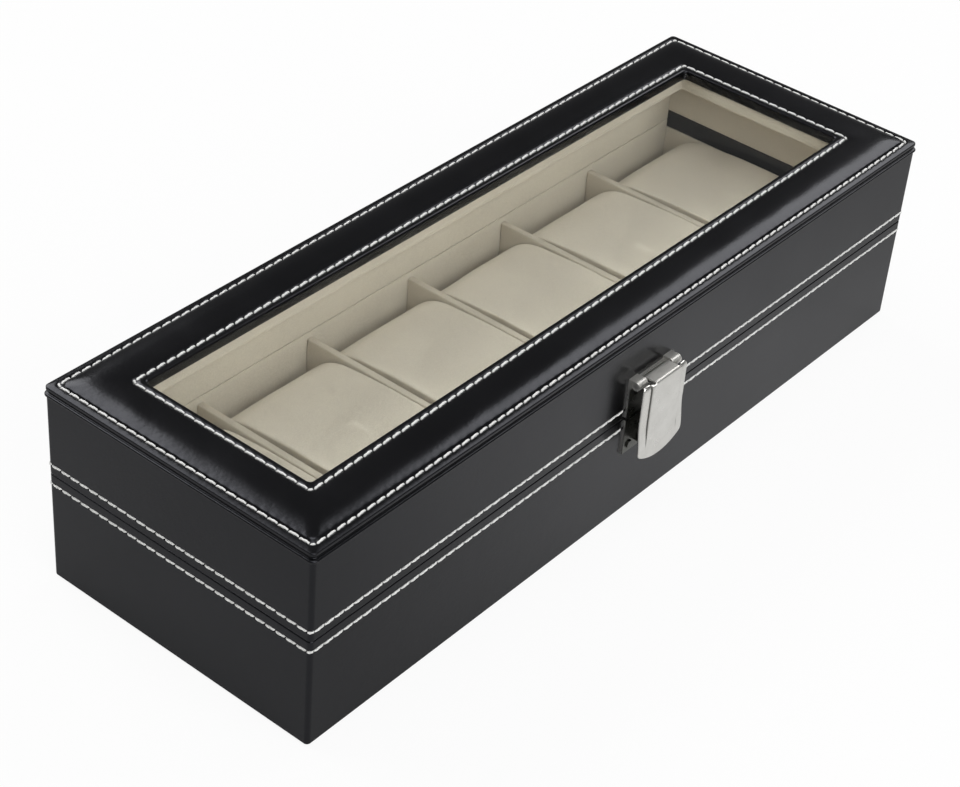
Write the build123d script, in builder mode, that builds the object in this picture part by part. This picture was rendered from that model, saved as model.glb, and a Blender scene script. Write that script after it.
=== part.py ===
"""Six-slot watch display box: a leather-covered fibreboard case with a hinged, glazed lid.

The frame: X runs along the box, Y from the front (the clasp side, -Y) to the back (the hinge side),
Z up from the surface that the box stands on. The origin is the middle of the underside.
All lengths are in millimetres.
"""

from build123d import *
import os

os.makedirs("parts", exist_ok=True)

# ---------------------------------------------------------------- driving dimensions
# The case
box_length = 300.0  # over the leather, along X
box_depth = 103.4  # over the leather, along Y
corner_radius = 1.4  # upright corners, outside the leather
base_height = 39.5  # surface to the rim that the closed lid rests on
lid_side_height = 29.1  # lid rim to the top of the lid walls

# Sheet materials
leather = 0.6
wall_board = 5.0
floor_board = 3.0
lining = 1.4  # card with velvet on it
underside_sheet = 0.8
underside_inset = 2.0
leather_turn_under = 14.0  # leather glued under the floor
base_turn_in = 2.4  # leather showing inside the base rim
lid_turn_in = 4.7  # leather showing inside the lid rim
rim_softness = 0.5  # rounding of the leather along its edges
back_lip_rise = 1.0  # base's back lining stands up into the lid
back_lip_gap = 0.3  # lid's back lining clear of that lip

# Compartments and cushions
slot_count = 6
divider_thickness = 2.5
divider_rim_drop = 1.0  # divider tops below the base rim
divider_softness = 1.0
cushion_side_gap = 0.6
cushion_end_gap = 2.7
cushion_seat_gap = 0.3
cushion_rise = 1.6  # cushion tops above the base rim
cushion_flat = 2.9  # upright strip between the rolls of the front and back
cushion_seam_radius = 2.5

# Glazing
glass_thickness = 2.0
glass_edge_gap = 0.5
retainer_thickness = 5.0
retainer_reveal = 1.8  # how far the retainer stands back from the window's edge

# Padded top frame, measured in from the outside and up from the top of the lid walls
frame_border = 20.0
frame_board = 1.5
frame_edge_height = 2.6
frame_edge_radius = 1.3
frame_foot_radius = 0.5
frame_crown = 4.0
crown_inset = 9.5
outer_stitch_inset = 2.6
inner_stitch_setback = 2.6  # inner line of stitches from the window's edge
inner_seat_height = 3.5
lip_height = 3.7
lip_radius = 0.8

# Stitching
stitch_seat = 1.0  # width of the pressed seat under a line of stitches
thread_width = 0.9
thread_thickness = 0.45
seat_depth = 0.25  # how deep the seat is pressed into the leather of the sides
lid_stitch_rise = 3.5  # lid stitches above the lid rim
base_stitch_drop = 3.6  # base stitches below the base rim

# Hinges at the back
hinge_end_inset = 50.0  # middle of each hinge from the end of the box
hinge_length = 22.0
hinge_leaf = 0.8
hinge_leaf_reach = 5.4  # leaf depth in from the back face
hinge_barrel_radius = 1.6
hinge_barrel_gap = 0.2  # barrel clear of the back face
hinge_pin_radius = 0.8
hinge_bore_gap = 0.05
hinge_middle_knuckle = 8.6
hinge_knuckle_gap = 0.3
hinge_pin_overhang = 0.4
mortise_gap = 0.1
screw_radius = 0.6
screw_head_radius = 1.2
screw_head_height = 0.5
screw_length = 5.0
screw_pitch = 13.0
fastener_gap = 0.05  # round every screw and tack in its hole

# Clasp on the front
clasp_width = 21.6
clasp_plate = 0.9
clasp_rise = 15.0  # top of the clasp above the lid rim
clasp_rim_gap = 0.5  # plates clear of the parting between lid and base
clasp_stitch_gap = 0.6  # stitches end this far beside the plates
clasp_middle_drop = 1.0  # lid plate between its ears, below their tops
clasp_pin_radius = 0.65
clasp_bore_gap = 0.06
clasp_curl = 1.5  # outside radius of the curls round the pin
curl_standoff = 1.2  # curl clear of the front face
tongue_width = 12.4
tongue_side_gap = 0.4
flap_width = 22.2
flap_panel_width = 15.8
flap_thickness = 0.9
flap_standoff = 4.5  # outside of the flap in front of the pin
flap_wing_setback = 0.75
flap_bend_radius = 1.2  # outside radius where the flap turns back to the pin
flap_side_drop = 25.0  # end of the flap's straight sides below the pin
flap_drop = 28.6  # lowest point of the flap below the pin
flap_corner_radius = 2.5
flap_edge_radius = 0.3
catch_height = 13.0
nose_width = 10.0
nose_height = 4.5
nose_gap = 0.3  # nose clear of the closed flap
nose_rise = 7.2  # top of the nose above the bottom edge of the catch plate
nose_radius = 1.2
tack_radius = 0.7
tack_head_radius = 1.4
tack_head_height = 0.6
tack_length = 5.0
tack_spacing = 15.4
lid_tack_rise = 6.9  # tacks above the bottom edge of the lid plate
base_tack_rise = 2.6  # tacks above the bottom edge of the catch plate

# ---------------------------------------------------------------- places worked out from them
half_length = box_length / 2
half_depth = box_depth / 2
front = -half_depth
wall_out_x = half_length - leather
wall_out_y = half_depth - leather
wall_in_x = wall_out_x - wall_board
wall_in_y = wall_out_y - wall_board
lining_in_x = wall_in_x - lining
lining_in_y = wall_in_y - lining
window_x = half_length - frame_border
window_y = half_depth - frame_border

base_wall_bottom = underside_sheet + leather
floor_top = base_wall_bottom + floor_board
floor_lining_top = floor_top + lining
lid_rim = base_height
lid_wall_top = lid_rim + lid_side_height
glass_bottom = lid_wall_top - glass_thickness
retainer_bottom = glass_bottom - retainer_thickness
lid_stitch_z = lid_rim + lid_stitch_rise
base_stitch_z = base_height - base_stitch_drop
outer_seat_height = frame_board + leather
inner_stitch_inset = frame_border - inner_stitch_setback

divider_top = base_height - divider_rim_drop
cushion_bottom = floor_lining_top + cushion_seat_gap
cushion_top = base_height + cushion_rise
cushion_roll = (cushion_top - cushion_bottom - cushion_flat) / 2
slot_width = (2 * lining_in_x - (slot_count - 1) * divider_thickness) / slot_count
slot_pitch = slot_width + divider_thickness

hinge_x = half_length - hinge_end_inset
hinge_offset = hinge_barrel_radius + hinge_barrel_gap
hinge_axis_y = half_depth + hinge_offset
hinge_axis_z = base_height

plate_face = front - clasp_plate
clasp_axis_y = front - curl_standoff - clasp_curl
clasp_axis_z = lid_rim + clasp_rise - clasp_curl
plate_bottom = lid_rim + clasp_rim_gap
catch_top = base_height - clasp_rim_gap
catch_bottom = catch_top - catch_height
lid_tack_z = plate_bottom + lid_tack_rise
base_tack_z = catch_bottom + base_tack_rise
flap_face_y = clasp_axis_y - flap_standoff
back_lip_top = base_height + back_lip_rise


def keep(sub_part, name):
    """Labels a finished piece and writes it to its own file."""
    sub_part.part.label = name
    export_step(sub_part.part, f"parts/{name}.step")


# ---------------------------------------------------------------- fasteners and their holes
def hinge_screw_spots(rim, upward):
    """Where the hinge screws enter a rim, as locations whose -Z runs into the wall."""
    y = half_depth - (leather + hinge_leaf_reach) / 2
    turn = 0 if upward == 1 else 180
    return [
        Location((side * hinge_x + step, y, rim), (turn, 0, 0))
        for side in (-1, 1)
        for step in (-screw_pitch / 2, screw_pitch / 2)
    ]


def tack_spots(height):
    """Where the tacks of a clasp plate enter it, as locations whose -Z runs into the wall."""
    return [
        Location((side * tack_spacing / 2, plate_face, height), (90, 0, 0))
        for side in (-1, 1)
    ]


def drill(spots, radius, depth):
    """Cuts a blind hole at each spot, down its own -Z."""
    for spot in spots:
        with Locations(spot):
            Cylinder(radius, depth, align=(Align.CENTER, Align.CENTER, Align.MAX), mode=Mode.SUBTRACT)


def drill_tack_holes(height):
    """Cuts the holes for the two tacks at this height."""
    drill(tack_spots(height), tack_radius + fastener_gap, tack_length + fastener_gap)


def drill_screw_holes(rim, upward):
    """Cuts the holes for the hinge screws in this rim."""
    drill(hinge_screw_spots(rim, upward), screw_radius + fastener_gap, screw_length + fastener_gap)


def cut_mortises(rim, upward):
    """Cuts the two seats for the hinge leaves into this rim."""
    depth = hinge_leaf_reach + mortise_gap + hinge_offset
    with Locations(
        (-hinge_x, hinge_axis_y - depth / 2, rim - upward * hinge_leaf / 2),
        (hinge_x, hinge_axis_y - depth / 2, rim - upward * hinge_leaf / 2),
    ):
        Box(hinge_length + 2 * mortise_gap, depth, hinge_leaf, mode=Mode.SUBTRACT)


# ---------------------------------------------------------------- pieces shared by base and lid
def leather_cover(bottom, top, rim, turn_in, turn_under, stitch_z, tack_z):
    """The leather round the four walls of the base (rim at its top) or the lid (rim at its bottom).

    It covers the outside, folds over the rim and is glued down inside the front and the ends.
    At the back the lining comes up to the rim, so nothing is turned in there.
    """
    upward = 1 if rim == top else -1
    reveal_y = wall_in_y - leather
    hollow_bottom = bottom + leather
    hollow_top = top - leather if rim == top else top
    with BuildPart() as cover:
        with BuildSketch(Plane.XY.offset(bottom)):
            RectangleRounded(box_length, box_depth, corner_radius)
        extrude(amount=top - bottom)
        edges = cover.edges().group_by(Axis.Z)
        fillet(edges[0] + edges[-1], rim_softness)
        with BuildSketch(Plane.XY.offset(hollow_bottom)):
            RectangleRounded(2 * wall_out_x, 2 * wall_out_y, corner_radius - leather)
        extrude(amount=hollow_top - hollow_bottom, mode=Mode.SUBTRACT)
        with BuildSketch(Plane.XY.offset(rim)):
            with Locations((0, (wall_in_y - reveal_y) / 2)):
                Rectangle(2 * (wall_in_x - leather), wall_in_y + reveal_y)
        extrude(amount=-upward * leather, mode=Mode.SUBTRACT)
        if turn_under:
            with BuildSketch(Plane.XY.offset(bottom)):
                Rectangle(box_length - 2 * turn_under, box_depth - 2 * turn_under)
            extrude(amount=leather, mode=Mode.SUBTRACT)
        with BuildSketch(Plane.XY.offset(rim)):
            Rectangle(2 * wall_in_x, 2 * wall_in_y)
            with Locations((0, leather)):
                Rectangle(2 * (wall_in_x - leather), 2 * wall_in_y, mode=Mode.SUBTRACT)
        extrude(amount=-upward * turn_in)
        with BuildSketch(Plane.XY.offset(stitch_z - stitch_seat / 2)):
            RectangleRounded(box_length, box_depth, corner_radius)
            RectangleRounded(
                box_length - 2 * seat_depth,
                box_depth - 2 * seat_depth,
                corner_radius - seat_depth,
                mode=Mode.SUBTRACT,
            )
        extrude(amount=stitch_seat, mode=Mode.SUBTRACT)
        cut_mortises(rim, upward)
        drill_tack_holes(tack_z)
    return cover


def long_wall(y_side, bottom, top):
    """The plain board of a front (y_side -1) or back (y_side 1) wall, the full length of the box."""
    with BuildPart() as wall:
        with Locations((0, y_side * (wall_out_y - wall_board / 2), (bottom + top) / 2)):
            Box(2 * wall_out_x, wall_board, top - bottom)
        uprights = wall.edges().filter_by(Axis.Z).group_by(Axis.Y)
        fillet(uprights[-1 if y_side > 0 else 0], corner_radius - leather)
    return wall


def front_wall(bottom, top, tack_z):
    """A front wall, with the holes for the tacks of its clasp plate."""
    with BuildPart() as wall:
        add(long_wall(-1, bottom, top))
        drill_tack_holes(tack_z)
    return wall


def back_wall(bottom, top, rim):
    """A back wall, let in for the hinge leaves in its rim and drilled for their screws."""
    upward = 1 if rim > top else -1
    with BuildPart() as wall:
        add(long_wall(1, bottom, top))
        cut_mortises(rim, upward)
        drill_screw_holes(rim, upward)
    return wall


def end_wall(x_side, bottom, top):
    """A left (x_side -1) or right (x_side 1) wall, fitted between the long walls."""
    with BuildPart() as wall:
        with Locations((x_side * (wall_out_x - wall_board / 2), 0, (bottom + top) / 2)):
            Box(wall_board, 2 * wall_in_y, top - bottom)
    return wall


def panel(width, depth, bottom, top, x=0.0, y=0.0):
    """A flat panel, centred on x and y."""
    with BuildPart() as sheet:
        with Locations((x, y, (bottom + top) / 2)):
            Box(width, depth, top - bottom)
    return sheet


def make_walls(prefix, bottom, top, rim, tack_z):
    """The four wall boards of the base or the lid."""
    keep(front_wall(bottom, top, tack_z), f"{prefix}_front_wall")
    keep(back_wall(bottom, top, rim), f"{prefix}_back_wall")
    keep(end_wall(-1, bottom, top), f"{prefix}_left_wall")
    keep(end_wall(1, bottom, top), f"{prefix}_right_wall")


def make_linings(prefix, bottom, top, back_bottom, back_top):
    """The four lining panels of the base or the lid; the back one fits between the end ones."""
    mid_x = wall_in_x - lining / 2
    mid_y = wall_in_y - lining / 2
    length = 2 * lining_in_x
    keep(panel(length, lining, bottom, top, y=-mid_y), f"{prefix}_front_lining")
    keep(panel(length, lining, back_bottom, back_top, y=mid_y), f"{prefix}_back_lining")
    keep(panel(lining, 2 * wall_in_y, bottom, top, x=-mid_x), f"{prefix}_left_lining")
    keep(panel(lining, 2 * wall_in_y, bottom, top, x=mid_x), f"{prefix}_right_lining")


def side_stitching(z):
    """A line of stitching round the outside of the base or the lid, lying in its seat.

    It stops on both sides of the clasp, whose plates lie flat on the leather.
    """
    proud = thread_thickness - seat_depth
    with BuildPart() as thread:
        with BuildSketch(Plane.XY.offset(z - thread_width / 2)):
            RectangleRounded(box_length + 2 * proud, box_depth + 2 * proud, corner_radius + proud)
            RectangleRounded(
                box_length - 2 * seat_depth,
                box_depth - 2 * seat_depth,
                corner_radius - seat_depth,
                mode=Mode.SUBTRACT,
            )
        extrude(amount=thread_width)
        with Locations((0, front, z)):
            Box(clasp_width + 2 * clasp_stitch_gap, 2 * leather, 2 * thread_width, mode=Mode.SUBTRACT)
    return thread


# ---------------------------------------------------------------- base
keep(
    leather_cover(
        underside_sheet,
        base_height,
        base_height,
        base_turn_in,
        leather_turn_under,
        base_stitch_z,
        base_tack_z,
    ),
    "base_leather_cover",
)
make_walls("base", base_wall_bottom, base_height - leather, base_height, base_tack_z)
keep(panel(2 * wall_in_x, 2 * wall_in_y, base_wall_bottom, floor_top), "base_floor_board")
make_linings("base", floor_top, base_height - base_turn_in, floor_top, back_lip_top)
keep(panel(2 * lining_in_x, 2 * lining_in_y, floor_top, floor_lining_top), "base_floor_lining")
keep(side_stitching(base_stitch_z), "base_side_stitching")

with BuildPart() as underside:
    with BuildSketch():
        RectangleRounded(
            box_length - 2 * underside_inset, box_depth - 2 * underside_inset, corner_radius
        )
    extrude(amount=underside_sheet)
keep(underside, "underside_felt")


# ---------------------------------------------------------------- dividers and cushions
def divider(x):
    """One cross wall between two compartments, with its top edge rounded by the velvet."""
    with BuildPart() as wall:
        with Locations((x, 0, (floor_lining_top + divider_top) / 2)):
            Box(divider_thickness, 2 * lining_in_y, divider_top - floor_lining_top)
        fillet(wall.edges().filter_by(Axis.Y).group_by(Axis.Z)[-1], divider_softness)
    return wall


def cushion(x):
    """A pillow whose front and back are rolled, so that a watch strap wraps round it."""
    width = slot_width - 2 * cushion_side_gap
    depth = 2 * (lining_in_y - cushion_end_gap)
    with BuildPart() as pillow:
        with BuildSketch(Plane.YZ.offset(x - width / 2)):
            with Locations((0, (cushion_bottom + cushion_top) / 2)):
                RectangleRounded(depth, cushion_top - cushion_bottom, cushion_roll)
        extrude(amount=width)
        ends = pillow.edges().group_by(Axis.X)
        fillet(ends[0] + ends[-1], cushion_seam_radius)
    return pillow


for i in range(1, slot_count):
    keep(divider((i - slot_count / 2) * slot_pitch), f"divider_{i}")
for i in range(1, slot_count + 1):
    keep(cushion((i - (slot_count + 1) / 2) * slot_pitch), f"cushion_{i}")

# ---------------------------------------------------------------- lid carcass and glazing
keep(
    leather_cover(lid_rim, lid_wall_top, lid_rim, lid_turn_in, 0, lid_stitch_z, lid_tack_z),
    "lid_leather_cover",
)
make_walls("lid", lid_rim + leather, lid_wall_top, lid_rim, lid_tack_z)
make_linings(
    "lid", lid_rim + lid_turn_in, retainer_bottom, back_lip_top + back_lip_gap, retainer_bottom
)
keep(side_stitching(lid_stitch_z), "lid_side_stitching")

keep(
    panel(
        2 * (wall_in_x - glass_edge_gap),
        2 * (wall_in_y - glass_edge_gap),
        glass_bottom,
        lid_wall_top,
    ),
    "window_glass",
)

with BuildPart() as retainer:
    with BuildSketch(Plane.XY.offset(retainer_bottom)):
        Rectangle(2 * wall_in_x, 2 * wall_in_y)
        Rectangle(
            2 * (window_x + retainer_reveal), 2 * (window_y + retainer_reveal), mode=Mode.SUBTRACT
        )
    extrude(amount=retainer_thickness)
keep(retainer, "glass_retainer")

# ---------------------------------------------------------------- padded top frame
with BuildPart() as frame_ring:
    with BuildSketch(Plane.XY.offset(lid_wall_top)):
        RectangleRounded(2 * wall_out_x, 2 * wall_out_y, corner_radius - leather)
        Rectangle(2 * (window_x + leather), 2 * (window_y + leather), mode=Mode.SUBTRACT)
    extrude(amount=frame_board)
keep(frame_ring, "top_frame_board")

# The frame's section is drawn at the middle of the front: x inwards, y up from the lid walls.
frame_section = Plane(origin=(0, front, lid_wall_top), x_dir=(0, 1, 0), z_dir=(1, 0, 0))
with BuildLine() as frame_path:
    Polyline(
        (0, front, lid_wall_top),
        (half_length, front, lid_wall_top),
        (half_length, half_depth, lid_wall_top),
        (-half_length, half_depth, lid_wall_top),
        (-half_length, front, lid_wall_top),
        close=True,
    )

seat_outer_end = outer_stitch_inset + stitch_seat / 2
seat_inner_start = inner_stitch_inset - stitch_seat / 2
seat_inner_end = inner_stitch_inset + stitch_seat / 2


def padded_top(depth):
    """Draws the padded top from the outer stitches to the window, this far under the leather."""
    edge = frame_border - depth
    lip = lip_height - depth
    crown = frame_crown - depth
    start = (seat_outer_end, outer_seat_height - depth)
    run = crown_inset - seat_outer_end
    rise = crown - start[1]
    shoulder = (start[0] + 0.4 * run, start[1] + 0.68 * rise)
    back_slope = ((crown_inset + seat_inner_start) / 2, lip + 0.75 * (crown - lip))
    seat = inner_seat_height - depth
    ThreePointArc(start, shoulder, (crown_inset, crown))
    ThreePointArc((crown_inset, crown), back_slope, (seat_inner_start, lip))
    Polyline(
        (seat_inner_start, lip),
        (seat_inner_start, seat),
        (seat_inner_end, seat),
        (seat_inner_end, lip),
        (edge - lip_radius, lip),
    )
    RadiusArc((edge - lip_radius, lip), (edge, lip - lip_radius), lip_radius)


with BuildPart() as padding:
    with BuildSketch(frame_section):
        with BuildLine():
            padded_top(leather)
            Polyline(
                (frame_border - leather, lip_height - leather - lip_radius),
                (frame_border - leather, frame_board),
                (seat_outer_end, frame_board),
            )
        make_face()
    sweep(path=frame_path.line, transition=Transition.RIGHT)
keep(padding, "top_frame_padding")

with BuildPart() as frame_leather:
    with BuildSketch(frame_section):
        with BuildLine():
            Polyline(
                (frame_border, lip_height - lip_radius), (frame_border, 0), (frame_foot_radius, 0)
            )
            RadiusArc((frame_foot_radius, 0), (0, frame_foot_radius), frame_foot_radius)
            Line((0, frame_foot_radius), (0, frame_edge_height - frame_edge_radius))
            RadiusArc(
                (0, frame_edge_height - frame_edge_radius),
                (frame_edge_radius, frame_edge_height),
                frame_edge_radius,
            )
            Polyline(
                (frame_edge_radius, frame_edge_height),
                (outer_stitch_inset - stitch_seat / 2, frame_edge_height),
                (outer_stitch_inset - stitch_seat / 2, outer_seat_height),
                (seat_outer_end, outer_seat_height),
            )
            padded_top(0)
        make_face()
        with BuildLine():
            padded_top(leather)
            Polyline(
                (frame_border - leather, lip_height - leather - lip_radius),
                (frame_border - leather, 0),
                (leather, 0),
                (leather, frame_board),
                (seat_outer_end, frame_board),
            )
        make_face(mode=Mode.SUBTRACT)
    sweep(path=frame_path.line, transition=Transition.RIGHT)
    with BuildSketch(Plane.XY.offset(lid_wall_top)):
        RectangleRounded(box_length, box_depth, corner_radius)
    extrude(amount=frame_crown, mode=Mode.INTERSECT)
keep(frame_leather, "top_frame_leather")


def frame_stitching(inset, seat_height):
    """A line of stitching round the padded frame, lying in its seat."""
    with BuildPart() as thread:
        with BuildSketch(Plane.XY.offset(lid_wall_top + seat_height)):
            Rectangle(box_length - 2 * inset + thread_width, box_depth - 2 * inset + thread_width)
            Rectangle(
                box_length - 2 * inset - thread_width,
                box_depth - 2 * inset - thread_width,
                mode=Mode.SUBTRACT,
            )
        extrude(amount=thread_thickness)
    return thread


keep(frame_stitching(outer_stitch_inset, outer_seat_height), "top_outer_stitching")
keep(frame_stitching(inner_stitch_inset, inner_seat_height), "top_inner_stitching")

# ---------------------------------------------------------------- hinges
barrel_half = hinge_length / 2
middle_half = hinge_middle_knuckle / 2
bore_radius = hinge_pin_radius + hinge_bore_gap


def knuckle(x_from, x_to):
    """Adds one knuckle of the hinge between two places along the pin."""
    with Locations(Location(((x_from + x_to) / 2, hinge_axis_y, hinge_axis_z), (0, 90, 0))):
        Cylinder(hinge_barrel_radius, x_to - x_from)


def finish_leaf(rim, upward, x, relief_spans):
    """Relieves a leaf beside the other leaf's knuckles, then bores it for its pin and screws."""
    relief = hinge_barrel_radius + hinge_barrel_gap
    for x_from, x_to in relief_spans:
        with Locations(Location(((x_from + x_to) / 2, hinge_axis_y, hinge_axis_z), (0, 90, 0))):
            Cylinder(relief, x_to - x_from, mode=Mode.SUBTRACT)
    with Locations(Location((x, hinge_axis_y, hinge_axis_z), (0, 90, 0))):
        Cylinder(bore_radius, hinge_length, mode=Mode.SUBTRACT)
    spots = [s for s in hinge_screw_spots(rim, upward) if abs(s.position.X - x) < hinge_length]
    drill(spots, screw_radius + fastener_gap, hinge_leaf)
    drill(spots, screw_head_radius + fastener_gap, screw_head_height)


def leaf_plate(rim, upward, x):
    """Adds the flat of a hinge leaf, let into the rim."""
    depth = hinge_leaf_reach + hinge_offset
    with Locations((x, hinge_axis_y - depth / 2, rim - upward * hinge_leaf / 2)):
        Box(hinge_length, depth, hinge_leaf)


def base_leaf(x):
    """The leaf on the base, with the two end knuckles."""
    inner = middle_half + hinge_knuckle_gap
    with BuildPart() as leaf:
        leaf_plate(base_height, 1, x)
        knuckle(x - barrel_half, x - inner)
        knuckle(x + inner, x + barrel_half)
        finish_leaf(base_height, 1, x, [(x - inner, x + inner)])
    return leaf


def lid_leaf(x):
    """The leaf on the lid, with the middle knuckle."""
    with BuildPart() as leaf:
        leaf_plate(lid_rim, -1, x)
        knuckle(x - middle_half, x + middle_half)
        finish_leaf(
            lid_rim, -1, x, [(x - barrel_half, x - middle_half), (x + middle_half, x + barrel_half)]
        )
    return leaf


for name, x in (("left", -hinge_x), ("right", hinge_x)):
    keep(base_leaf(x), f"base_hinge_leaf_{name}")
    keep(lid_leaf(x), f"lid_hinge_leaf_{name}")

with BuildPart() as hinge_pins:
    with Locations(
        Location((-hinge_x, hinge_axis_y, hinge_axis_z), (0, 90, 0)),
        Location((hinge_x, hinge_axis_y, hinge_axis_z), (0, 90, 0)),
    ):
        Cylinder(hinge_pin_radius, hinge_length + 2 * hinge_pin_overhang)
keep(hinge_pins, "hinge_pins")


def hinge_screws(rim, upward):
    """The four screws of one side of the hinges, with flush heads."""
    with BuildPart() as screws:
        for spot in hinge_screw_spots(rim, upward):
            with Locations(spot):
                Cylinder(screw_radius, screw_length, align=(Align.CENTER, Align.CENTER, Align.MAX))
                Cylinder(
                    screw_head_radius, screw_head_height, align=(Align.CENTER, Align.CENTER, Align.MAX)
                )
    return screws


keep(hinge_screws(base_height, 1), "base_hinge_screws")
keep(hinge_screws(lid_rim, -1), "lid_hinge_screws")

# ---------------------------------------------------------------- clasp
# Its sections are drawn seen from the +X end: x towards the back, y up, from the pin's axis.
pin_to_face = front - clasp_axis_y
pin_bore = clasp_pin_radius + clasp_bore_gap
ear_inner = tongue_width / 2 + tongue_side_gap
clasp_half = clasp_width / 2


def clasp_section(x):
    """The plane of the clasp's section at this x."""
    return Plane(origin=(x, clasp_axis_y, clasp_axis_z), x_dir=(0, 1, 0), z_dir=(1, 0, 0))


def ear(x):
    """Adds a curled ear to the plate, from this x over its length."""
    plate_foot = plate_bottom - clasp_axis_z
    with BuildSketch(clasp_section(x)) as section:
        Circle(clasp_curl)
        with BuildLine():
            Polyline(
                (0, clasp_curl),
                (pin_to_face, clasp_curl),
                (pin_to_face, plate_foot),
                (pin_to_face - clasp_plate, plate_foot),
                (pin_to_face - clasp_plate, clasp_curl - clasp_plate),
                (0, clasp_curl - clasp_plate),
                close=True,
            )
        make_face()
        Circle(pin_bore, mode=Mode.SUBTRACT)
    extrude(section.sketch, amount=clasp_half - ear_inner)


def plate_tack_holes(height):
    """Cuts the tack holes through a clasp plate."""
    drill(tack_spots(height), tack_radius + fastener_gap, clasp_plate)


with BuildPart() as lid_plate:
    plate_middle_top = clasp_axis_z + clasp_curl - clasp_middle_drop
    with Locations((0, front - clasp_plate / 2, (plate_bottom + plate_middle_top) / 2)):
        Box(clasp_width, clasp_plate, plate_middle_top - plate_bottom)
    ear(-clasp_half)
    ear(ear_inner)
    plate_tack_holes(lid_tack_z)
keep(lid_plate, "clasp_plate")

with BuildPart() as clasp_pin:
    with Locations(Location((0, clasp_axis_y, clasp_axis_z), (0, 90, 0))):
        Cylinder(clasp_pin_radius, clasp_width)
keep(clasp_pin, "clasp_pin")

with BuildPart() as flap:
    side_end = clasp_axis_z - flap_side_drop
    shoulder_z = clasp_axis_z + clasp_curl - flap_bend_radius
    lowest = clasp_axis_z - flap_drop
    panel_half = flap_panel_width / 2
    flap_half = flap_width / 2
    with BuildSketch(Plane.XY.offset(lowest)):
        with Locations((0, flap_face_y + flap_thickness / 2)):
            Rectangle(flap_panel_width, flap_thickness)
        for side in (-1, 1):
            wing_x = side * (flap_half + panel_half - flap_thickness) / 2
            with Locations((wing_x, flap_face_y + flap_wing_setback)):
                Rectangle(
                    flap_half - panel_half + flap_thickness, flap_thickness, align=(Align.CENTER, Align.MIN)
                )
    extrude(amount=shoulder_z - lowest)
    with BuildSketch(Plane.XZ.offset(-flap_face_y)) as outline:
        with BuildLine():
            Polyline(
                (-flap_half, side_end),
                (-flap_half, shoulder_z),
                (flap_half, shoulder_z),
                (flap_half, side_end),
            )
            ThreePointArc((flap_half, side_end), (0, lowest), (-flap_half, side_end))
        make_face()
        lower = outline.vertices().group_by(Axis.Y)[0]
        fillet(lower, flap_corner_radius)
    extrude(amount=-(flap_wing_setback + flap_thickness), mode=Mode.INTERSECT)
    fillet(flap.faces().sort_by(Axis.Y)[0].edges(), flap_edge_radius)
    with BuildSketch(clasp_section(-tongue_width / 2)) as tongue:
        with BuildLine():
            Polyline(
                (0, clasp_curl),
                (-flap_standoff, clasp_curl),
                (-flap_standoff, -clasp_curl),
                (flap_thickness - flap_standoff, -clasp_curl),
                (flap_thickness - flap_standoff, clasp_curl - flap_thickness),
                (0, clasp_curl - flap_thickness),
                close=True,
            )
        make_face()
        bend = tongue.vertices().group_by(Axis.X)[0].sort_by(Axis.Y)[-1]
        fillet(bend, flap_bend_radius)
        Circle(clasp_curl)
        Circle(pin_bore, mode=Mode.SUBTRACT)
    extrude(amount=tongue_width)
keep(flap, "clasp_flap")

with BuildPart() as catch:
    with Locations((0, front - clasp_plate / 2, (catch_top + catch_bottom) / 2)):
        Box(clasp_width, clasp_plate, catch_height)
    nose_reach = plate_face - (flap_face_y + flap_thickness + nose_gap)
    nose_z = catch_bottom + nose_rise - nose_height / 2
    with Locations((0, plate_face - nose_reach / 2, nose_z)):
        Box(nose_width, nose_reach, nose_height)
    fillet(catch.edges().filter_by(Axis.X).group_by(Axis.Y)[0], nose_radius)
    plate_tack_holes(base_tack_z)
keep(catch, "clasp_catch")


def tacks(height):
    """The two round-headed tacks of a clasp plate."""
    with BuildPart() as pair:
        for spot in tack_spots(height):
            with Locations(spot):
                Cylinder(tack_radius, tack_length, align=(Align.CENTER, Align.CENTER, Align.MAX))
                Cylinder(
                    tack_head_radius, tack_head_height, align=(Align.CENTER, Align.CENTER, Align.MIN)
                )
    return pair


keep(tacks(lid_tack_z), "lid_clasp_tacks")
keep(tacks(base_tack_z), "base_clasp_tacks")
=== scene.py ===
"""The looks of the six-slot watch display box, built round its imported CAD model.

The frame is the part's own: X along the box, Y from the clasp side (-Y) to the hinges (+Y), Z up.
Blender works in metres. Sizes of the detail are written in millimetres and multiplied by MM.
"""

import math
from functools import cached_property

import bpy
import numpy as np
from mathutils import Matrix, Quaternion, Vector, noise
from mathutils.geometry import delaunay_2d_cdt


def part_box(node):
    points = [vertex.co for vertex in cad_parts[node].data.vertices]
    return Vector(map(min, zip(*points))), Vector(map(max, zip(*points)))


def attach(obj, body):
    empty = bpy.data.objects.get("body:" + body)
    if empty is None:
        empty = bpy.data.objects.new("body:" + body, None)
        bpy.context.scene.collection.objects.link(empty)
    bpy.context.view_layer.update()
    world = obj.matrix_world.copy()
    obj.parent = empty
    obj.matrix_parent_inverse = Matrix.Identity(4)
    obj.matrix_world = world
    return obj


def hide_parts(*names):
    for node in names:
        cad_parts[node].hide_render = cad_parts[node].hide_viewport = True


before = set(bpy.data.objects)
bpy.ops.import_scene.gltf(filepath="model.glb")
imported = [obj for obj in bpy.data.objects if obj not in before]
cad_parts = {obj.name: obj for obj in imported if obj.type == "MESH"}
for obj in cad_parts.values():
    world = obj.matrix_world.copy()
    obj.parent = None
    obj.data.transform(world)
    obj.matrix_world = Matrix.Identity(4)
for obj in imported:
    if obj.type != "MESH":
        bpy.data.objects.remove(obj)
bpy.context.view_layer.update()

MM = 0.001

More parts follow.
